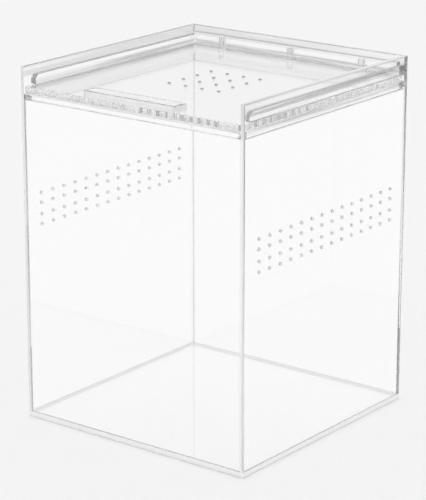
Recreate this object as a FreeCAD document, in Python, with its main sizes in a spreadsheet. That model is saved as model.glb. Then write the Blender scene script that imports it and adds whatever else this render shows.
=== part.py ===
import FreeCAD, Part
import math
import os
import Sketcher

# Clear acrylic enclosure: a floor, four walls, a ring of guide bars and a lid that slides out over the
# low front wall. +Z is up, the front faces -Y, and the origin is at the middle of the underside.

# Driving sizes in millimetres, and counts: name, value, what it measures.
SIZES = [
    ("overall_width", 200, "outside, across the two side walls"),
    ("overall_depth", 200, "outside, front to back"),
    ("overall_height", 267, "underside to the top of the tall walls"),
    ("wall_thickness", 3, "sheet of the four walls"),
    ("floor_thickness", 4, "sheet that the walls stand on"),
    ("edge_radius", 1, "polished outer edges of the sheets"),
    ("floor_chamfer", 0.5, "broken lower edge of the floor"),
    ("rim_height", 7, "free wall above the side upper guides"),
    ("upper_guide_height", 7.4, "guide bar over the lid's sides, upright"),
    ("back_guide_height", 9.4, "guide bar over the lid's back edge, upright"),
    ("lower_guide_height", 6, "guide bar under the lid, upright"),
    ("guide_depth", 4, "guide bar, in from its wall"),
    ("guide_setback", 8, "front end of an upper guide, behind the front of the box"),
    ("guide_bevel", 3, "slanted top corner at the front end of an upper guide"),
    ("lead_in", 1, "eased lower corner where the lid enters an upper guide"),
    ("front_drop", 0.6, "top of the front wall, below the lower guides"),
    ("lid_thickness", 4, "sheet of the lid"),
    ("lid_corner", 2, "corner radius of the lid, in plan"),
    ("running_gap", 0.3, "between the lid and the guides above and below it"),
    ("side_gap", 0.5, "between the lid and the walls beside and behind it"),
    ("grip_length", 82, "pull bar, across"),
    ("grip_depth", 14, "pull bar, front to back"),
    ("grip_height", 5, "pull bar, above the lid"),
    ("grip_rounding", 1, "polished edges of the pull bar"),
    ("keeper_width", 5, "keeper tab, across"),
    ("keeper_depth", 3, "keeper tab, out from the back guide"),
    ("keeper_height", 9, "keeper tab, upright"),
    ("keeper_bevel", 1.5, "slanted top of a keeper tab"),
    ("vent_diameter", 2.5, "every vent hole"),
    ("vent_sides", 16, "flats round a vent hole"),
    ("overrun", 1, "how far a hole's cutter passes each face"),
    ("vent_pitch", 12.5, "from column to column of wall vents"),
    ("vent_end_margin", 18, "least wall before the first and after the last column"),
    ("vent_row_gap", 7.5, "between the two rows of a pair"),
    ("vent_pair_gap", 8.8, "between the two pairs of rows"),
    ("vent_level", 157.8, "middle of the wall vents, above the underside"),
    ("lid_vent_across", 15, "pitch of the lid vents, side to side"),
    ("lid_vent_along", 16.5, "pitch of the lid vents, front to back"),
    ("lid_vent_count", 4, "lid vents in a row, and rows"),
]

# Rules that several pieces share, written in the driving sizes.
HALF_WIDTH = "Sizes.overall_width / 2"
HALF_DEPTH = "Sizes.overall_depth / 2"
INNER_WIDTH = "(Sizes.overall_width - 2 * Sizes.wall_thickness)"
INNER_DEPTH = "(Sizes.overall_depth - 2 * Sizes.wall_thickness)"
BETWEEN_GUIDES = f"({INNER_WIDTH} - 2 * Sizes.guide_depth)"
BACK_FACE = f"({HALF_DEPTH} - Sizes.wall_thickness)"
UPPER_GUIDE_LEVEL = "(Sizes.overall_height - Sizes.rim_height - Sizes.upper_guide_height)"
LID_TOP = f"({UPPER_GUIDE_LEVEL} - Sizes.running_gap)"
LID_LEVEL = f"({LID_TOP} - Sizes.lid_thickness)"
LOWER_GUIDE_TOP = f"({LID_LEVEL} - Sizes.running_gap)"
LOWER_GUIDE_LEVEL = f"({LOWER_GUIDE_TOP} - Sizes.lower_guide_height)"
VENT_COLUMNS = "(floor((Sizes.overall_depth - 2 * Sizes.vent_end_margin) / Sizes.vent_pitch) + 1)"

EVEN_STEP = -1.0  # marks a gap of a pattern that keeps to the pitch

doc = FreeCAD.newDocument("Enclosure")
sizes = doc.addObject("Spreadsheet::Sheet", "Sizes")
for row, (alias, value, note) in enumerate(SIZES, start=1):
    sizes.set(f"A{row}", alias)
    sizes.set(f"B{row}", str(value))
    sizes.set(f"C{row}", note)
    sizes.setAlias(f"B{row}", alias)
doc.recompute()
pieces = []


def new_piece(label, across, along, up):
    """An empty body with its own name, placed by three rules."""
    body = doc.addObject("PartDesign::Body", label)
    body.Label = label
    for axis, rule in zip("xyz", (across, along, up)):
        body.setExpression(f"Placement.Base.{axis}", rule)
    pieces.append(body)
    return body


def origin_part(body, role):
    """One of the body's own origin planes or axes, by its role."""
    return next(part for part in body.Origin.OriginFeatures if part.Role == role)


def measure(sketch, name, rule, *constraint):
    """A named dimension of a sketch that follows a rule."""
    number = sketch.addConstraint(Sketcher.Constraint(*constraint))
    sketch.renameConstraint(number, name)
    sketch.setExpression(f"Constraints.{name}", rule)


def rectangle(sketch, width, height, stands):
    """A rectangle about the sketch's origin, or standing on its cross axis, from a unit square.

    The constraints call a line's start its point 1 and its end its point 2. The sketch's cross axis is
    line -1, which starts at the origin, and its up axis is line -2.
    """
    corners = [FreeCAD.Vector(x, y, 0) for x, y in ((0, 0), (1, 0), (1, 1), (0, 1))]
    for side in range(4):
        sketch.addGeometry(Part.LineSegment(corners[side], corners[(side + 1) % 4]))
    for side in range(4):
        sketch.addConstraint(Sketcher.Constraint("Coincident", side, 2, (side + 1) % 4, 1))
    for direction, side in (("Vertical", 1), ("Horizontal", 2), ("Vertical", 3)):
        sketch.addConstraint(Sketcher.Constraint(direction, side))
    if stands:
        sketch.addConstraint(Sketcher.Constraint("Symmetric", 0, 1, 0, 2, -2))
        sketch.addConstraint(Sketcher.Constraint("PointOnObject", 0, 1, -1))
    else:
        sketch.addConstraint(Sketcher.Constraint("Horizontal", 0))
        sketch.addConstraint(Sketcher.Constraint("Symmetric", 0, 1, 2, 1, -1, 1))
    measure(sketch, "width", width, "DistanceX", 0, 1, 0, 2, 1)
    measure(sketch, "height", height, "DistanceY", 1, 1, 1, 2, 1)


def slab(body, role, width, height, thickness, stands=True, symmetric=False):
    """A rectangle of sheet or bar, raised off one of the body's origin planes."""
    sketch = body.newObject("Sketcher::SketchObject", "Outline")
    sketch.AttachmentSupport = [(origin_part(body, role), "")]
    sketch.MapMode = "FlatFace"
    rectangle(sketch, width, height, stands)
    pad = body.newObject("PartDesign::Pad", "Slab")
    pad.Profile = sketch
    pad.setExpression("Length", thickness)
    if symmetric:
        pad.SideType = "Symmetric"
    doc.recompute()
    return pad


def edges_on(feature, *sides):
    """Names of the edges that lie flat on all the given sides of a feature's box, such as XMin and ZMax."""
    box = feature.Shape.BoundBox
    nearness = box.DiagonalLength * FreeCAD.Base.Precision.confusion()
    found = []
    for number, edge in enumerate(feature.Shape.Edges, start=1):
        reach = edge.BoundBox
        places = [(side, getattr(reach, side[0] + end)) for side in sides for end in ("Min", "Max")]
        if all(abs(place - getattr(box, side)) <= nearness for side, place in places):
            found.append(f"Edge{number}")
    return found


def soften(body, kind, feature, size, *corners):
    """A fillet or chamfer on the edges where the named sides of a feature meet."""
    names = [name for corner in corners for name in edges_on(feature, *corner)]
    soft = body.newObject(f"PartDesign::{kind}", kind)
    soft.Base = (feature, names)
    soft.setExpression("Radius" if kind == "Fillet" else "Size", size)
    doc.recompute()
    return soft


def vents(body, plane, across, up, sheet, columns, rows):
    """A field of vent holes through a sheet, from one hole placed by two rules on an origin plane.

    Columns are an axis, a pitch rule and a count rule; rows are an axis, a pitch rule and a list of gaps.
    """
    hole = body.newObject("PartDesign::SubtractivePrism", "Vent")
    hole.AttachmentSupport = [(origin_part(body, plane), "")]
    hole.MapMode = "FlatFace"
    hole.Refine = False
    hole.setExpression("Polygon", "Sizes.vent_sides")
    hole.setExpression("Circumradius", "Sizes.vent_diameter / 2")
    hole.setExpression("Height", f"{sheet} + 2 * Sizes.overrun")
    for axis, rule in zip("xyz", (across, up, "-Sizes.overrun")):
        hole.setExpression(f"AttachmentOffset.Base.{axis}", rule)
    field = body.newObject("PartDesign::LinearPattern", "Field")
    field.Originals = [hole]
    field.Refine = False
    field.Mode = field.Mode2 = "Spacing"
    column_axis, column_pitch, column_count = columns
    field.Direction = (origin_part(body, column_axis), [""])
    field.setExpression("Offset", column_pitch)
    field.setExpression("Occurrences", column_count)
    row_axis, row_pitch, row_gaps = rows
    field.Direction2 = (origin_part(body, row_axis), [""])
    field.setExpression("Offset2", row_pitch)
    field.Occurrences2 = len(row_gaps) + 1
    field.Spacings2 = row_gaps
    body.Tip = field
    doc.recompute()
    whole = hole.BaseFeature.Shape.Volume
    taken = whole - field.Shape.Volume
    expected = (whole - hole.Shape.Volume) * field.Occurrences * field.Occurrences2
    if not math.isclose(taken, expected, rel_tol=1e-6):
        raise RuntimeError(f"{body.Label}: the vents took {taken} in place of {expected}")


def floor_panel():
    """Sheet under the whole box, with the plan corners of the walls above and a broken lower edge."""
    body = new_piece("floor_panel", "0", "0", "0")
    plan = ("Sizes.overall_width", "Sizes.overall_depth")
    pad = slab(body, "XY_Plane", *plan, "Sizes.floor_thickness", stands=False)
    upright = [(x, y) for x in ("XMin", "XMax") for y in ("YMin", "YMax")]
    rounded = soften(body, "Fillet", pad, "Sizes.edge_radius", *upright)
    soften(body, "Chamfer", rounded, "Sizes.floor_chamfer", ("ZMin",))


def side_wall(label, outer, place):
    """Tall side sheet over the full depth, polished outside, with four rows of vents in two pairs."""
    body = new_piece(label, place, "0", "Sizes.floor_thickness")
    height = "Sizes.overall_height - Sizes.floor_thickness"
    pad = slab(body, "YZ_Plane", "Sizes.overall_depth", height, "Sizes.wall_thickness")
    soften(body, "Fillet", pad, "Sizes.edge_radius", (outer, "YMin"), (outer, "YMax"), (outer, "ZMax"))
    first_column = f"-({VENT_COLUMNS} - 1) * Sizes.vent_pitch / 2"
    lowest_row = "Sizes.vent_level - Sizes.floor_thickness - Sizes.vent_pair_gap / 2 - Sizes.vent_row_gap"
    columns = ("Y_Axis", "Sizes.vent_pitch", VENT_COLUMNS)
    rows = ("Z_Axis", "Sizes.vent_row_gap", [EVEN_STEP, sizes.vent_pair_gap, EVEN_STEP])
    vents(body, "YZ_Plane", first_column, lowest_row, "Sizes.wall_thickness", columns, rows)


def cross_wall(label, face, top):
    """Plain sheet between the side walls, with one face at a given place and its top at a given level."""
    body = new_piece(label, "0", face, "Sizes.floor_thickness")
    pad = slab(body, "XZ_Plane", INNER_WIDTH, f"{top} - Sizes.floor_thickness", "Sizes.wall_thickness")
    return body, pad


def walls():
    """Two vented side sheets, a tall back sheet and a low front sheet that the lid passes over."""
    side_wall("left_wall", "XMin", f"-{HALF_WIDTH}")
    side_wall("right_wall", "XMax", f"{HALF_WIDTH} - Sizes.wall_thickness")
    body, pad = cross_wall("back_wall", HALF_DEPTH, "Sizes.overall_height")
    soften(body, "Fillet", pad, "Sizes.edge_radius", ("YMax", "ZMax"))
    low_top = f"({LOWER_GUIDE_TOP} - Sizes.front_drop)"
    body, pad = cross_wall("front_wall", f"Sizes.wall_thickness - {HALF_DEPTH}", low_top)
    soften(body, "Fillet", pad, "Sizes.edge_radius", ("YMin", "ZMax"))


def lower_guides():
    """Ring of bars that the lid rests over: two along the sides, and two between them."""
    for label, place in (
        ("left_lower_guide", f"-{INNER_WIDTH} / 2"),
        ("right_lower_guide", f"{INNER_WIDTH} / 2 - Sizes.guide_depth"),
    ):
        body = new_piece(label, place, "0", LOWER_GUIDE_LEVEL)
        slab(body, "YZ_Plane", INNER_DEPTH, "Sizes.lower_guide_height", "Sizes.guide_depth")
    for label, place in (
        ("back_lower_guide", BACK_FACE),
        ("front_lower_guide", f"Sizes.guide_depth - {BACK_FACE}"),
    ):
        body = new_piece(label, "0", place, LOWER_GUIDE_LEVEL)
        slab(body, "XZ_Plane", BETWEEN_GUIDES, "Sizes.lower_guide_height", "Sizes.guide_depth")


def upper_guides():
    """Bars over the lid's sides and back. The side bars stop short of the front, where the lid enters."""
    length = f"({HALF_DEPTH} - Sizes.guide_setback + {BACK_FACE})"
    middle = f"{BACK_FACE} - {length} / 2"
    for label, place in (
        ("left_upper_guide", f"-{INNER_WIDTH} / 2"),
        ("right_upper_guide", f"{INNER_WIDTH} / 2 - Sizes.guide_depth"),
    ):
        body = new_piece(label, place, middle, UPPER_GUIDE_LEVEL)
        pad = slab(body, "YZ_Plane", length, "Sizes.upper_guide_height", "Sizes.guide_depth")
        bevelled = soften(body, "Chamfer", pad, "Sizes.guide_bevel", ("YMin", "ZMax"))
        soften(body, "Chamfer", bevelled, "Sizes.lead_in", ("YMin", "ZMin"))
    body = new_piece("back_upper_guide", "0", BACK_FACE, UPPER_GUIDE_LEVEL)
    slab(body, "XZ_Plane", BETWEEN_GUIDES, "Sizes.back_guide_height", "Sizes.guide_depth")


def keepers():
    """Three upright tabs on the front of the back upper guide, each in the middle of its third."""
    along = f"{BACK_FACE} - Sizes.guide_depth - Sizes.keeper_depth / 2"
    for label, across in (
        ("left_keeper", f"-{INNER_WIDTH} / 3"),
        ("centre_keeper", "0"),
        ("right_keeper", f"{INNER_WIDTH} / 3"),
    ):
        body = new_piece(label, across, along, UPPER_GUIDE_LEVEL)
        profile = ("Sizes.keeper_depth", "Sizes.keeper_height")
        pad = slab(body, "YZ_Plane", *profile, "Sizes.keeper_width", symmetric=True)
        soften(body, "Chamfer", pad, "Sizes.keeper_bevel", ("YMin", "ZMax"))


def lid_panel():
    """Lid sheet from the front of the box to just short of the back wall, with a square block of vents."""
    back_gap = "(Sizes.wall_thickness + Sizes.side_gap)"
    body = new_piece("lid_panel", "0", f"-{back_gap} / 2", LID_LEVEL)
    width = f"{INNER_WIDTH} - 2 * Sizes.side_gap"
    depth = f"Sizes.overall_depth - {back_gap}"
    pad = slab(body, "XY_Plane", width, depth, "Sizes.lid_thickness", stands=False)
    upright = [(x, y) for x in ("XMin", "XMax") for y in ("YMin", "YMax")]
    soften(body, "Fillet", pad, "Sizes.lid_corner", *upright)
    reach = "-(Sizes.lid_vent_count - 1) / 2"
    across = f"{reach} * Sizes.lid_vent_across"
    along = f"{reach} * Sizes.lid_vent_along"
    columns = ("X_Axis", "Sizes.lid_vent_across", "Sizes.lid_vent_count")
    rows = ("Y_Axis", "Sizes.lid_vent_along", [EVEN_STEP] * (sizes.lid_vent_count - 1))
    vents(body, "XY_Plane", across, along, "Sizes.lid_thickness", columns, rows)


def lid_grip():
    """Solid pull bar on the lid, flush with its front edge and polished on every free edge."""
    body = new_piece("lid_grip", "0", f"Sizes.grip_depth / 2 - {HALF_DEPTH}", LID_TOP)
    profile = ("Sizes.grip_depth", "Sizes.grip_height")
    pad = slab(body, "YZ_Plane", *profile, "Sizes.grip_length", symmetric=True)
    upright = [(x, y) for x in ("XMin", "XMax") for y in ("YMin", "YMax")]
    level = [(side, "ZMax") for side in ("XMin", "XMax", "YMin", "YMax")]
    soften(body, "Fillet", pad, "Sizes.grip_rounding", *upright, *level)


floor_panel()
walls()
lower_guides()
upper_guides()
keepers()
lid_panel()
lid_grip()
doc.recompute()

for item in doc.Objects:
    if "Invalid" in item.State or "Error" in item.State:
        raise RuntimeError(f"{item.Label} failed: {item.State}")
for piece in pieces:
    if piece.Shape.isNull() or not piece.Shape.isValid() or len(piece.Shape.Solids) != 1:
        raise RuntimeError(f"{piece.Label} is not one sound solid")

os.makedirs("parts", exist_ok=True)
for piece in pieces:
    piece.Shape.exportStep(f"parts/{piece.Label}.step")
    box = piece.Shape.BoundBox
    reach = ((box.XMin, box.XMax), (box.YMin, box.YMax), (box.ZMin, box.ZMax))
    print(piece.Label, *[f"{low:.1f} to {high:.1f}" for low, high in reach], sep=" | ")
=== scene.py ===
# %% [markdown]
# # A clear acrylic enclosure with a sliding lid
# The box is polished sheet and strip, and its looks come almost wholly from what the acrylic does with
# light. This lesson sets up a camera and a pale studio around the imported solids. Then it takes the
# walls, the base, the lid and the bars in turn, and gives each the finish that its making leaves on it.

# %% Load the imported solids
import math

import bmesh
import bpy
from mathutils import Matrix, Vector


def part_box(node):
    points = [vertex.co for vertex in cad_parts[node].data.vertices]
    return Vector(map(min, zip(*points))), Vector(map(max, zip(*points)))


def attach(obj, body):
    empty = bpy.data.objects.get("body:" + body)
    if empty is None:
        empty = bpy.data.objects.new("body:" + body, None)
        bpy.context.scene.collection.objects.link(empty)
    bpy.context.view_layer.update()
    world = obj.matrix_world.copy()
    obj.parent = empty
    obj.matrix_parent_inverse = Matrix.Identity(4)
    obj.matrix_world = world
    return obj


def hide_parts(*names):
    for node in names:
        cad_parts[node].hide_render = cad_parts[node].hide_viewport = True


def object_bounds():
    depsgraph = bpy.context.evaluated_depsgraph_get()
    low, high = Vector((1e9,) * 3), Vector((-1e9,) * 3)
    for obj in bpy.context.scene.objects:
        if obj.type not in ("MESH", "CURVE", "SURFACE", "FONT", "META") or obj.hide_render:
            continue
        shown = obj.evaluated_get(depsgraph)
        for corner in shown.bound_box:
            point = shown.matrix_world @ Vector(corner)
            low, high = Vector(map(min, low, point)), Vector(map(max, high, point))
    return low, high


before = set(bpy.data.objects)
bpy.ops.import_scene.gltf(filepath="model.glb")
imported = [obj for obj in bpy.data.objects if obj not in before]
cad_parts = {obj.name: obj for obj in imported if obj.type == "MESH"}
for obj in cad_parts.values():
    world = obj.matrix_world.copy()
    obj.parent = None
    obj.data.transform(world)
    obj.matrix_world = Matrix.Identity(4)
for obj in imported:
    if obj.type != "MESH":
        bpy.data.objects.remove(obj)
cad_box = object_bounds()
low, high = (Vector(corner) for corner in cad_box)
bpy.ops.object.select_all(action="DESELECT")
print("solids:", len(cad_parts), "box in metres:", [round(size, 3) for size in high - low])

# %% [markdown]
# ## The camera
# The picture was taken from the front right and a little above, from well back, so the edges of the box
# run nearly parallel. A long lens at the same distance keeps that look. The camera is placed by its
# direction and distance from a point near the middle of the box, which is easier to set by eye than
# three coordinates.

# %% Place the camera
AZIMUTH = math.radians(37.56)
ELEVATION = math.radians(16.93)
DISTANCE = 1.649
LENS = 160.2
AIM_HEIGHT = 0.1238
AIM_ASIDE = -0.0024
FARTHEST_SEEN = 100

aside = Vector((math.cos(AZIMUTH), math.sin(AZIMUTH), 0))
ahead = Vector((-math.sin(AZIMUTH), math.cos(AZIMUTH), 0))
back = Vector((0, 0, math.sin(ELEVATION))) - math.cos(ELEVATION) * ahead
aim = AIM_ASIDE * aside + Vector((0, 0, AIM_HEIGHT))
turn = back.to_track_quat("Z", "Y").to_euler()
bpy.ops.object.camera_add(location=aim + DISTANCE * back, rotation=turn)
camera = bpy.context.object
camera.data.lens = LENS
camera.data.clip_end = FARTHEST_SEEN
bpy.context.scene.camera = camera
print("camera at", [round(place, 3) for place in camera.location])

# %% [markdown]
# ## Light paths
# Light that enters the edge of a clear sheet runs along inside it, thrown from face to face dozens of
# times. With the usual few bounces those paths stop early and every edge turns black, so they get many
# more here. Reflections are not blurred to save time either, so that the lines in the edges stay crisp.

# %% Let light run along the sheets
LONGEST_PATH = 64

cycles = bpy.context.scene.cycles
cycles.max_bounces = LONGEST_PATH
cycles.glossy_bounces = LONGEST_PATH
cycles.transmission_bounces = LONGEST_PATH
cycles.blur_glossy = 0
bpy.context.scene.view_settings.view_transform = "Standard"
print("longest light path:", cycles.max_bounces, "bounces")

# %% [markdown]
# ## Helpers for shader nodes
# The room, the paper and every finish below are small trees of nodes. These helpers add a node and fill
# its inputs by name, carry a value from one range to another, mix two values and do plain sums, so that
# each tree reads from top to bottom like a recipe.


# %% Helpers for shader nodes
def plug(tree, value, socket):
    """Fill an input with a number or a colour, or link it to the output of another node."""
    if isinstance(value, bpy.types.NodeSocket):
        tree.links.new(value, socket)
    else:
        socket.default_value = value


def add_node(tree, kind, settings=None, **inputs):
    """A node with its settings and inputs; an underscore in an input's name stands for a space."""
    node = tree.nodes.new(kind)
    for name, value in (settings or {}).items():
        setattr(node, name, value)
    for name, value in inputs.items():
        plug(tree, value, node.inputs[name.replace("_", " ")])
    return node


def blend(tree, value, low_end, high_end, from_low, from_high):
    """Go from one end to the other as a value crosses a range, with soft ends."""
    node = add_node(tree, "ShaderNodeMapRange", {"interpolation_type": "SMOOTHSTEP"}, Value=value,
                    From_Min=from_low, From_Max=from_high, To_Min=low_end, To_Max=high_end)
    return node.outputs["Result"]


def mix(tree, share, first, second):
    """The first value where the share is 0, the second where it is 1."""
    node = add_node(tree, "ShaderNodeMapRange", Value=share, To_Min=first, To_Max=second)
    return node.outputs["Result"]


def combine(tree, operation, first, second=0):
    """Two numbers put together by a plain operation."""
    node = add_node(tree, "ShaderNodeMath", {"operation": operation})
    plug(tree, first, node.inputs[0])
    plug(tree, second, node.inputs[1])
    return node.outputs["Value"]


def combine_vectors(tree, operation, first, second=(0, 0, 0)):
    """Two directions put together by a plain operation."""
    node = add_node(tree, "ShaderNodeVectorMath", {"operation": operation})
    plug(tree, first, node.inputs[0])
    plug(tree, second, node.inputs[1])
    return node.outputs["Value" if operation == "DOT_PRODUCT" else "Vector"]


def mix_shaders(tree, share, first, second):
    """The first shader where the share is 0, the second where it is 1."""
    node = add_node(tree, "ShaderNodeMixShader", Fac=share)
    plug(tree, first.outputs[0], node.inputs[1])
    plug(tree, second.outputs[0], node.inputs[2])
    return node.outputs[0]


def grey(level):
    """A plain grey as a colour."""
    return (level, level, level, 1)


helpers = (plug, add_node, blend, mix, combine, combine_vectors, mix_shaders, grey)
print("node helpers:", [helper.__name__ for helper in helpers])

# %% [markdown]
# ## The studio
# A room that is equally bright everywhere makes clear plastic vanish. Photographers stand grey boards
# around it, just out of the picture, and its edges and bars pick them up as grey lines. Here the room is
# bright overhead and pale behind the box, and the boards stand in a low ring to its sides and behind the
# camera. The room is told apart by two numbers: how far up a ray goes, and how nearly it goes the way
# that the camera looks.

# %% Directions in the room
world = bpy.data.worlds.new("studio_room")
bpy.context.scene.world = world
world.use_nodes = True
room = world.node_tree
room.nodes.clear()
looking = add_node(room, "ShaderNodeTexCoord").outputs["Generated"]
upward = add_node(room, "ShaderNodeSeparateXYZ", Vector=looking).outputs["Z"]
level_part = combine_vectors(room, "MULTIPLY", looking, (1, 1, 0))
bearing = combine_vectors(room, "NORMALIZE", level_part)
facing_back = combine_vectors(room, "DOT_PRODUCT", bearing, ahead)
print("the camera looks along", [round(part, 2) for part in ahead])

# %% [markdown]
# The pale wall behind meets the paper in the same tone, so that no horizon shows through the box. Above
# it the wall is greyer, which tones the lid, and has a brighter band at the height where the bars
# reflect it. The boards hang a little above the floor and leave a gap behind the box, so that the walls
# show the pale wall and nothing else.

# %% Light the room
CEILING = 1.09
BOARD = 0.65
BOARD_FOOT = (0.08, 0.16)
BOARD_HEAD = (0.36, 0.6)
GAP_BEHIND = (0.3, 0.8)
PALE_HORIZON = 0.95
PALE_FOOT = 0.82
PALE_BAND = 0.98
PALE_HEAD = 0.72
HORIZON_HEAD = (0.1, 0.2)
BAND_FOOT = (0.23, 0.31)
BAND_HEAD = (0.33, 0.41)

above_horizon = blend(room, upward, PALE_HORIZON, PALE_FOOT, *HORIZON_HEAD)
rising = blend(room, upward, above_horizon, PALE_BAND, *BAND_FOOT)
pale = blend(room, upward, rising, PALE_HEAD, *BAND_HEAD)
in_gap = blend(room, facing_back, 0, 1, *GAP_BEHIND)
below_boards = blend(room, upward, 1, 0, *BOARD_FOOT)
no_board = combine(room, "MAXIMUM", in_gap, below_boards)
around = mix(room, no_board, BOARD, pale)
strength = blend(room, upward, around, CEILING, *BOARD_HEAD)
glow = add_node(room, "ShaderNodeBackground", Color=grey(1), Strength=strength)
print("room light from", BOARD, "at the boards to", CEILING, "overhead")

# %% [markdown]
# The camera itself sees one plain tone, which meets the paper on the floor without a line.

# %% The plain backdrop
BACKDROP = 0.905

plain = add_node(room, "ShaderNodeBackground", Color=grey(BACKDROP))
seen = add_node(room, "ShaderNodeLightPath").outputs["Is Camera Ray"]
add_node(room, "ShaderNodeOutputWorld", Surface=mix_shaders(room, seen, glow, plain))
print("backdrop tone:", BACKDROP)

# %% [markdown]
# ## The floor
# The box stands on plain pale paper. It lies a hair below the base, because two faces in one plane would
# trap the light between them. Seen directly the paper is a touch greyer than through the acrylic, as in
# the picture, and it keeps the box's soft shadow.

# %% Lay the paper
PAPER_WIDTH = 40
PAPER_DROP = 0.0006
PAPER_SEEN = 0.91
PAPER_BEHIND = 0.96
PAPER_GLOW = 0.5
PAPER_ROUGHNESS = 0.9

bpy.ops.mesh.primitive_plane_add(size=PAPER_WIDTH, location=(0, 0, low.z - PAPER_DROP))
floor = bpy.context.object
floor.name = "studio_floor"
paper = bpy.data.materials.new("floor_paper")
paper.use_nodes = True
tree = paper.node_tree
ray = add_node(tree, "ShaderNodeLightPath")
matt = tree.nodes["Principled BSDF"]
plug(tree, mix(tree, ray.outputs["Is Camera Ray"], PAPER_BEHIND, PAPER_SEEN), matt.inputs["Base Color"])
matt.inputs["Roughness"].default_value = PAPER_ROUGHNESS
matt.inputs["Specular IOR Level"].default_value = 0
bright = add_node(tree, "ShaderNodeEmission", Color=grey(PAPER_BEHIND))
through = combine(tree, "MULTIPLY", ray.outputs["Is Transmission Ray"], PAPER_GLOW)
plug(tree, mix_shaders(tree, through, matt, bright), tree.nodes["Material Output"].inputs["Surface"])
floor.data.materials.append(paper)
print("paper at", round(floor.location.z * 1000, 2), "mm")

# %% [markdown]
# ## Bonded joints
# Solvent runs into a joint and welds the two pieces, so light crosses it as if they were one. Two solids
# that only touch share a plane, and rays lose their way in it. So each bonded piece gets a copy whose
# joint faces reach a few hundredths of a millimetre into the neighbour. The joints are named by the side
# of the piece that they are on.

# %% Where the joints are
JOINTS = {
    "left_wall": ["z-"],
    "right_wall": ["z-"],
    "back_wall": ["z-", "x-", "x+"],
    "front_wall": ["z-", "x-", "x+"],
    "left_lower_guide": ["x-", "y-", "y+"],
    "right_lower_guide": ["x+", "y-", "y+"],
    "back_lower_guide": ["y+", "x-", "x+"],
    "front_lower_guide": ["y-", "x-", "x+"],
    "left_upper_guide": ["x-", "y+"],
    "right_upper_guide": ["x+", "y+"],
    "back_upper_guide": ["y+", "x-", "x+"],
    "left_keeper": ["y+"],
    "centre_keeper": ["y+"],
    "right_keeper": ["y+"],
    "lid_panel": [],
    "lid_grip": ["z-"],
}


def joint_planes(name):
    """The axis, direction and place of each joint face of a piece."""
    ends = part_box(name)
    planes = []
    for side in JOINTS[name]:
        axis = "xyz".index(side[0])
        end = "-+".index(side[1])
        planes.append((axis, 2 * end - 1, ends[end][axis]))
    return planes


print("joint faces:", sum(len(sides) for sides in JOINTS.values()), "on", len(JOINTS), "pieces")

# %% [markdown]
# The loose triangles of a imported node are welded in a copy, and the copy takes the node's place. The
# normals that came with the triangles go, because they would bend the shading of the flats.

# %% Welded copies that reach into their neighbours
NEAR = 0.000002
REACH = 0.00004


def pick(piece):
    """Make one piece the only one selected."""
    bpy.ops.object.select_all(action="DESELECT")
    piece.select_set(True)
    bpy.context.view_layer.objects.active = piece


def edit(piece):
    """Open one piece in edit mode, with nothing selected, and return its mesh."""
    pick(piece)
    bpy.ops.object.mode_set(mode="EDIT")
    bpy.ops.mesh.select_all(action="DESELECT")
    return bmesh.from_edit_mesh(piece.data)


def merged_copy(name):
    """A copy of a node with its loose triangles merged, which takes the node's place."""
    piece = bpy.data.objects.new(name + "_piece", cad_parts[name].data.copy())
    bpy.context.scene.collection.objects.link(piece)
    edit(piece)
    bpy.ops.mesh.select_all(action="SELECT")
    bpy.ops.mesh.remove_doubles(threshold=NEAR)
    bpy.ops.mesh.customdata_custom_splitnormals_clear()
    bpy.ops.object.mode_set(mode="OBJECT")
    bpy.ops.object.shade_flat()
    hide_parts(name)
    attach(piece, "lid" if name.startswith("lid") else "enclosure")
    return piece


def in_plane(vertices, plane):
    """Whether all the given vertices lie in a joint plane."""
    axis, _, place = plane
    return all(abs(vertex.co[axis] - place) < NEAR for vertex in vertices)


def reach_in(piece, planes):
    """Move each joint face of a piece a little way into its neighbour."""
    for plane in planes:
        axis, direction, _ = plane
        shape = edit(piece)
        for vertex in shape.verts:
            vertex.select = in_plane([vertex], plane)
        shape.select_flush_mode()
        bmesh.update_edit_mesh(piece.data)
        move = [0, 0, 0]
        move[axis] = direction * REACH
        bpy.ops.transform.translate(value=move)
        bpy.ops.object.mode_set(mode="OBJECT")


pieces = {name: merged_copy(name) for name in JOINTS}
print("copies:", len(pieces), "faces:", sum(len(piece.data.polygons) for piece in pieces.values()))

# %% [markdown]
# ## Marks on the faces
# A finish has to know which faces are bonded and which were drilled. Each piece carries one number per
# face for that, which the material reads. A second material for those faces would not do, because Cycles
# follows what a ray is inside of by material, and loses count when a closed shape has two.

# %% Mark the joints and the drilled holes
HOLE_MARGIN = 0.006
HOLE_LEAN = 0.5
DRILLED_ALONG = {"left_wall": "X", "right_wall": "X", "lid_panel": "Z"}


def mark(piece, attribute, chosen):
    """Give a piece a mark that is 1 on the chosen faces and 0 on the others."""
    layer = piece.data.attributes.new(attribute, "FLOAT", "FACE")
    for face, value in zip(piece.data.polygons, layer.data):
        value.value = float(chosen(face))
    return round(sum(value.value for value in layer.data))


def mark_joints(name):
    """Mark the faces that lie in the joint planes of a piece."""
    piece = pieces[name]
    planes = joint_planes(name)

    def is_joined(face):
        corners = [piece.data.vertices[number] for number in face.vertices]
        return any(in_plane(corners, plane) for plane in planes)

    return mark(piece, "bonded", is_joined)


def mark_holes(name, drill_axis):
    """Mark the faces that look along a sheet and lie well inside its outline."""
    near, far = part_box(name)
    through = "XYZ".index(drill_axis)
    sides = [axis for axis in range(3) if axis != through]

    def is_hole(face):
        place = face.center
        inside = all(near[n] + HOLE_MARGIN < place[n] < far[n] - HOLE_MARGIN for n in sides)
        return inside and abs(face.normal[through]) < HOLE_LEAN

    return mark(pieces[name], "drilled", is_hole)


drilled = {name: mark_holes(name, axis) for name, axis in DRILLED_ALONG.items()}
print("drilled faces:", drilled)

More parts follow.
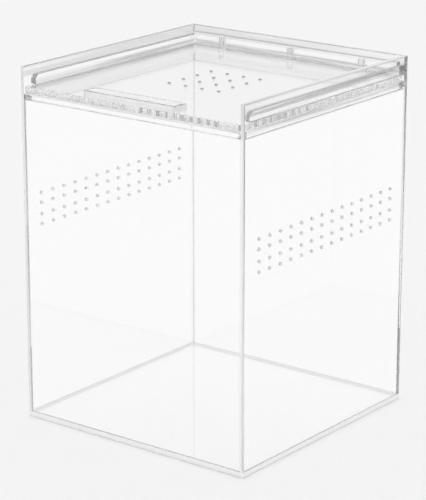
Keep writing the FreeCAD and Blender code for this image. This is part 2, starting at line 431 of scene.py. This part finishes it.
# %% [markdown]
# ## Clear acrylic
# Acrylic has a refractive index of about one and a half and lets nearly all light through. Thick pieces
# and edges look greyer, because light goes a long way inside them, so the shader dims it with depth and
# not at the surface. The helpers below ask where on a piece a point is, which way it faces and what
# marks it carries, and draw out noise into streaks.

# %% Clear acrylic and what a finish asks about a point
CLEAR_IOR = 1.49


def clear_shader(name, tint, density):
    """A material of clear acrylic that dims light a little along its way."""
    material = bpy.data.materials.new(name)
    material.use_nodes = True
    tree = material.node_tree
    shader = tree.nodes["Principled BSDF"]
    shader.inputs["Base Color"].default_value = grey(1)
    shader.inputs["Transmission Weight"].default_value = 1
    shader.inputs["IOR"].default_value = CLEAR_IOR
    depth = add_node(tree, "ShaderNodeVolumeAbsorption", Color=tint, Density=density)
    plug(tree, depth.outputs["Volume"], tree.nodes["Material Output"].inputs["Volume"])
    return material, tree, shader


def squareness(tree, point, axis):
    """How squarely a face looks along an axis, from 0 to 1."""
    turned = add_node(tree, "ShaderNodeSeparateXYZ", Vector=point.outputs["Normal"])
    return combine(tree, "ABSOLUTE", turned.outputs[axis])


def height(tree, point):
    """How far up the box a point is."""
    return add_node(tree, "ShaderNodeSeparateXYZ", Vector=point.outputs["Object"]).outputs["Z"]


def marked(tree, attribute):
    """The mark on a face, which is 0 on a piece without such marks."""
    return add_node(tree, "ShaderNodeAttribute", {"attribute_name": attribute}).outputs["Fac"]


def streaks(tree, point, scales, detail):
    """Noise with its own scale along each axis, so a small scale draws it out into streaks."""
    drawn = add_node(tree, "ShaderNodeMapping", Vector=point.outputs["Object"], Scale=scales)
    noise = add_node(tree, "ShaderNodeTexNoise", Vector=drawn.outputs["Vector"], Scale=1, Detail=detail)
    return noise.outputs["Fac"]


def drawn_along(axis, across, along):
    """Scales for streaks that run along one axis."""
    return [along if letter == axis else across for letter in "XYZ"]


print("acrylic with an index of", CLEAR_IOR)

# %% [markdown]
# ## Sheet finish
# Cast sheet is polished on its two faces, with a faint haze from handling. Where it was sawn it is
# duller, with fine lines across its thickness, and a drill leaves a frosted hole, which is what turns
# each vent into a soft grey dot; a grey colour given to the holes is painted shade. Round the open top
# the faces are a little greyer in long streaks. The finish tells faces and cuts apart by the direction
# that they look in.

# %% Sheet finish
SHEET_TINT = (0.55, 0.57, 0.57, 1)
SHEET_DEPTH = 0.8
FACE_ON = (0.85, 0.99)
HAZE = 0.015
HAZE_SCALE = 60
HAZE_DETAIL = 6
HAZE_RANGE = (0.4, 0.75)
SAW_ACROSS = 300
SAW_THROUGH = 20
SAW_DETAIL = 3
SAW_RANGE = (0.3, 0.7)
SAW_BUMP = 0.5
FACE_LEVEL = 0.5
FROST_RANGE = (0.35, 0.65)
DRILLED_ROUGHNESS = 0.5
RIM_STREAK_SCALES = (5, 5, 500)
RIM_STREAK_DETAIL = 4
RIM_STREAK_RANGE = (0.3, 0.6)
RIM_BELOW = 0.002
RIM_ABOVE = 0.0005

guide_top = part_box("left_upper_guide")[1][2]
rim = (guide_top - RIM_BELOW, guide_top + RIM_ABOVE)


def sheet_finish(name, face_axis, sawn, saw_depth, edge_clear, hole_painted_shade=1, rim_tone=1):
    """Polished faces across one axis, and sawn or drilled faces along it."""
    material, tree, shader = clear_shader(name, SHEET_TINT, SHEET_DEPTH)
    point = add_node(tree, "ShaderNodeTexCoord")
    on_face = blend(tree, squareness(tree, point, face_axis), 0, 1, *FACE_ON)
    saw = streaks(tree, point, drawn_along(face_axis, SAW_ACROSS, SAW_THROUGH), SAW_DETAIL)
    hole = marked(tree, "drilled")

    haze = streaks(tree, point, (HAZE_SCALE,) * 3, HAZE_DETAIL)
    polish = blend(tree, haze, 0, HAZE, *HAZE_RANGE)
    worked = mix(tree, hole, blend(tree, saw, *sawn, *SAW_RANGE), DRILLED_ROUGHNESS)
    plug(tree, mix(tree, on_face, worked, polish), shader.inputs["Roughness"])

    edge = mix(tree, marked(tree, "bonded"), blend(tree, saw, *edge_clear, *FROST_RANGE), 1)
    clear = mix(tree, hole, edge, 0)
    plug(tree, mix(tree, on_face, clear, 1), shader.inputs["Transmission Weight"])

    # Round the open top the faces get long, slightly greyer streaks in their colour.
    rim_streaks = blend(tree, streaks(tree, point, RIM_STREAK_SCALES, RIM_STREAK_DETAIL), 0, 1, *RIM_STREAK_RANGE)
    on_rim = blend(tree, height(tree, point), 0, 1, *rim)
    face_tone = mix(tree, combine(tree, "MULTIPLY", rim_streaks, on_rim), 1, rim_tone)
    # Painted shade: a grey colour in the holes, used on the lid to make its vents darker.
    cut_painted_shade = mix(tree, hole, 1, hole_painted_shade)
    plug(tree, mix(tree, on_face, cut_painted_shade, face_tone), shader.inputs["Base Color"])

    lines = mix(tree, on_face, saw, FACE_LEVEL)
    bump = add_node(tree, "ShaderNodeBump", Height=lines, Strength=SAW_BUMP, Distance=saw_depth)
    plug(tree, bump.outputs["Normal"], shader.inputs["Normal"])
    return material


def wear(name, material):
    """Give a piece one material in place of the ones it had."""
    pieces[name].data.materials.clear()
    pieces[name].data.materials.append(material)


print("smears from", round(rim[0] * 1000, 1), "mm up")

# %% [markdown]
# ## The walls
# The side walls are vented and stand outside the front and back walls. Their outer edges were scraped
# and polished round, and shading those rounds smooth while the flats stay flat gives each edge its thin
# bright and grey lines. The sawn ends are mostly frosted, which keeps them a pale grey.

# %% Finish the walls
WALL_SAWN = (0, 0.03)
WALL_SAW_DEPTH = 0.00005
WALL_EDGE_CLEAR = (0.3, 0.3)
WALL_RIM_TONE = 0.78
SQUARE_ON = 0.9999
WALLS = {"left_wall": "X", "right_wall": "X", "back_wall": "Y", "front_wall": "Y"}


def smooth_rounds(piece):
    """Shade the faces that look along no axis smooth, and leave the flats flat."""
    shape = edit(piece)
    bpy.ops.mesh.select_mode(type="FACE")
    for face in shape.faces:
        face.select = max(abs(part) for part in face.normal) < SQUARE_ON
    smoothed = sum(face.select for face in shape.faces)
    bmesh.update_edit_mesh(piece.data)
    bpy.ops.mesh.faces_shade_smooth()
    bpy.ops.mesh.select_mode(type="VERT")
    bpy.ops.object.mode_set(mode="OBJECT")
    return smoothed


def wall_finish(name, axis):
    """The sheet finish of a wall that faces along an axis."""
    return sheet_finish(name, axis, WALL_SAWN, WALL_SAW_DEPTH, WALL_EDGE_CLEAR, rim_tone=WALL_RIM_TONE)


wall_finishes = {"X": wall_finish("clear_side_wall", "X"), "Y": wall_finish("clear_cross_wall", "Y")}
for name, axis in WALLS.items():
    wear(name, wall_finishes[axis])
    joined = mark_joints(name)
    rounds = smooth_rounds(pieces[name])
    reach_in(pieces[name], joint_planes(name))
    print(name, "smooth faces:", rounds, "joint faces:", joined)

# %% [markdown]
# ## The base
# The base is a thicker sheet, and its edge was only scraped, so it is evenly frosted. It shows as a pale
# band between two thin lines, where its upper edge meets the walls and its lower edge is rounded. Its
# shape is right as packed, so the node itself wears the finish.

# %% Finish the base
BASE_SAWN = (0.35, 0.45)
BASE_SAW_DEPTH = 0.00002
BASE_EDGE_CLEAR = (0.15, 0.15)

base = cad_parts["floor_panel"]
base.data.materials.clear()
base_finish = sheet_finish("clear_base", "Z", BASE_SAWN, BASE_SAW_DEPTH, BASE_EDGE_CLEAR)
base.data.materials.append(base_finish)

# %% [markdown]
# ## The lid
# The lid was cut on a coarser saw and its edge left as it was. The deep lines break the light into beads
# all along the edge, the most lively part of the whole box. In the picture its vents are darker than
# those in the walls, so its holes get a grey colour, which is painted shade.

# %% Finish the lid
LID_SAWN = (0, 0.08)
LID_SAW_DEPTH = 0.0003
LID_EDGE_CLEAR = (0.9, 0.6)
# Painted shade: the grey colour of the lid's holes.
LID_HOLE_PAINTED_SHADE = 0.45

lid_finish = sheet_finish("clear_lid", "Z", LID_SAWN, LID_SAW_DEPTH, LID_EDGE_CLEAR, LID_HOLE_PAINTED_SHADE)
wear("lid_panel", lid_finish)
rounds = smooth_rounds(pieces["lid_panel"])
print("lid smooth faces:", rounds)

# %% [markdown]
# ## Bar finish
# The guides, tabs and pull bar are strips cut from thicker sheet. Their sides are the sheet's polished
# faces, and the cuts between them are part frosted, with streaks along the length. The cuts' grey colour
# is painted shade, which draws the dark lines along the tops and bottoms of the bars. Solvent does not
# wet a long joint all over: where it stayed dry, the joint is rough in streaks, and its face gets a
# streaky grey colour, painted shade for the dark bands that show through the bars. How far up a joint
# is dry and shaded is given as two shares of the bar's height, from where the grey begins to where it is
# full.

# %% Bar finish
BAR_TINT = (0.6, 0.61, 0.61, 1)
BAR_DEPTH = 6
CUT_FACES = (0.3, 0.8)
STREAK_ACROSS = 450
STREAK_ALONG = 8
STREAK_DETAIL = 4
STREAK_DEPTH = 0.0002
STREAK_BUMP = 0.5
SAWN_ROUGHNESS = 0.3
# Painted shade: the grey of the streaky film in the dry part of a joint.
FILM_PAINTED_SHADE = (0.75, 0.35)
FILM_SHADE_RANGE = (0.4, 0.6)
FILM_ROUGHNESS = 0.2
FILM_ROUGH_RANGE = (0.4, 0.65)


def bar_finish(name, face_axis, streak_axis, dry_and_shaded, sawn_painted_shade, sawn_clear):
    """Strip with polished faces across one axis, sawn faces between them, and streaks along another."""
    material, tree, shader = clear_shader(name, BAR_TINT, BAR_DEPTH)
    point = add_node(tree, "ShaderNodeTexCoord")
    on_face = squareness(tree, point, face_axis)
    sawn = blend(tree, on_face, 1, 0, *CUT_FACES)
    runs = streaks(tree, point, drawn_along(streak_axis, STREAK_ACROSS, STREAK_ALONG), STREAK_DETAIL)
    bonded = marked(tree, "bonded")
    free_cut = combine(tree, "MULTIPLY", sawn, combine(tree, "SUBTRACT", 1, bonded))
    dry_and_shaded_part = blend(tree, height(tree, point), 0, 1, *dry_and_shaded)
    film_and_shade = combine(tree, "MULTIPLY", combine(tree, "MULTIPLY", bonded, on_face), dry_and_shaded_part)

    # Painted shade: streaky grey in the dry part of each joint.
    painted_film_shade = mix(tree, film_and_shade, 1, blend(tree, runs, *FILM_PAINTED_SHADE, *FILM_SHADE_RANGE))
    # Painted shade: a streaky grey in the sawn cuts.
    cut_painted_shade = blend(tree, runs, *sawn_painted_shade, *FROST_RANGE)
    plug(tree, mix(tree, free_cut, painted_film_shade, cut_painted_shade), shader.inputs["Base Color"])

    cut_clear = blend(tree, runs, *sawn_clear, *FROST_RANGE)
    plug(tree, mix(tree, free_cut, 1, cut_clear), shader.inputs["Transmission Weight"])

    rough_film = mix(tree, film_and_shade, 0, blend(tree, runs, 0, FILM_ROUGHNESS, *FILM_ROUGH_RANGE))
    plug(tree, mix(tree, free_cut, rough_film, SAWN_ROUGHNESS), shader.inputs["Roughness"])

    bump = add_node(tree, "ShaderNodeBump", Height=runs, Distance=STREAK_DEPTH)
    plug(tree, combine(tree, "MULTIPLY", free_cut, STREAK_BUMP), bump.inputs["Strength"])
    plug(tree, bump.outputs["Normal"], shader.inputs["Normal"])
    return material


print("film lets through", FILM_PAINTED_SHADE, "of the light")

# %% [markdown]
# ## Rounded bars
# The free edges of the bars are flame polished, which rounds them by most of a millimetre. A rounded
# edge gathers the light of the whole room into one line, so these bevels do more for the picture than
# anything else on the box. The edges on a joint stay square. Weighted normals keep the flats flat right
# up to the rounds.

# %% Round a bar
ROUNDING = 0.0008
ROUNDING_STEPS = 4
FLAT = math.radians(1)
SHARP = math.radians(35)
FLATS_WEIGHT = 100


def round_edges(piece, planes):
    """Bevel the sharp edges of a piece that lie on none of its joints."""
    edit(piece)
    bpy.ops.mesh.select_all(action="SELECT")
    bpy.ops.mesh.dissolve_limited(angle_limit=FLAT)
    bpy.ops.mesh.select_mode(type="EDGE")
    bpy.ops.mesh.select_all(action="DESELECT")
    shape = bmesh.from_edit_mesh(piece.data)
    for edge in shape.edges:
        joined = any(in_plane(edge.verts, plane) for plane in planes)
        edge.select = not joined and edge.calc_face_angle(0) > SHARP
    bmesh.update_edit_mesh(piece.data)
    bpy.ops.mesh.bevel(offset=ROUNDING, segments=ROUNDING_STEPS, affect="EDGES")
    bpy.ops.mesh.select_mode(type="VERT")
    bpy.ops.object.mode_set(mode="OBJECT")


def shade(piece):
    """Smooth the rounds and keep the flats flat."""
    pick(piece)
    bpy.ops.object.shade_smooth_by_angle(angle=SHARP)
    bpy.ops.object.modifier_add(type="WEIGHTED_NORMAL")
    weighted = piece.modifiers[-1]
    weighted.keep_sharp = True
    weighted.weight = FLATS_WEIGHT
    bpy.ops.object.modifier_apply(modifier=weighted.name)


def finish_bar(name, material):
    """Round, mark and shade one bar, and join it to its neighbours."""
    planes = joint_planes(name)
    round_edges(pieces[name], planes)
    wear(name, material)
    joined = mark_joints(name)
    shade(pieces[name])
    reach_in(pieces[name], planes)
    print(name, "faces:", len(pieces[name].data.polygons), "joint faces:", joined)


def dry_and_shaded_heights(name, shares):
    """Heights at which a bar's joint goes from wetted to dry, and its painted grey shade from none to
    full.
    """
    foot, head = (corner[2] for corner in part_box(name))
    return [foot + share * (head - foot) for share in shares]


print("bars rounded by", ROUNDING * 1000, "mm")

# %% [markdown]
# ## The guides
# Two rings of bar hold the lid: it slides on the lower ring, and the upper ring, open at the front,
# keeps it down. The upper right bar's joint is dry along its upper half and the left and back ones'
# along their lower part, which puts the painted grey streaks of shade where the picture has them. The
# lower ring's joints are dry towards their top, and its cuts get a paler painted shade.

# %% Finish the guides
# How much painted grey shade the cuts of each ring get, and how clear they stay.
UPPER_CUT = {"sawn_painted_shade": (0.85, 0.5), "sawn_clear": (0.75, 0.35)}
LOWER_CUT = {"sawn_painted_shade": (1, 0.9), "sawn_clear": (0.7, 0.4)}
# Where on each bar the joint is dry and painted with grey shade, as shares of its height.
DRY_AND_SHADED = {
    "right_upper_guide": (0.43, 0.66),
    "left_upper_guide": (0.62, 0.35),
    "back_upper_guide": (0.49, 0.28),
    "left_lower_guide": (0.08, 0.75),
    "right_lower_guide": (0.08, 0.75),
    "back_lower_guide": (0.58, 0.92),
    "front_lower_guide": (0.58, 0.92),
}

for name, shares in DRY_AND_SHADED.items():
    axes = "XY" if name.startswith(("left", "right")) else "YX"
    cut = UPPER_CUT if "upper" in name else LOWER_CUT
    finish = bar_finish("clear_" + name, *axes, dry_and_shaded_heights(name, shares), **cut)
    finish_bar(name, finish)

# %% [markdown]
# ## The tabs and the pull bar
# Three small upright tabs are bonded to the front of the back guide, and the pull bar lies flat on the
# lid's front edge. They are short pieces with mostly sawn sides, frosted nearly white, and their saw
# lines run upright.

# %% Finish the tabs and the pull bar
# The tabs and the pull bar get only a trace of painted grey shade in their cuts.
TAB_CUT = {"sawn_painted_shade": (1, 0.95), "sawn_clear": (0.4, 0.2)}
PULL_CUT = {"sawn_painted_shade": (1, 0.95), "sawn_clear": (0.7, 0.3)}

# The tabs and the pull bar take their dry and painted-shade heights from the upper right bar.
dry_and_shaded = dry_and_shaded_heights("right_upper_guide", DRY_AND_SHADED["right_upper_guide"])
tab_finish = bar_finish("clear_tab", "Y", "Z", dry_and_shaded, **TAB_CUT)
for name in ("left_keeper", "centre_keeper", "right_keeper"):
    finish_bar(name, tab_finish)
pull_finish = bar_finish("clear_pull_bar", "Z", "Z", dry_and_shaded, **PULL_CUT)
finish_bar("lid_grip", pull_finish)
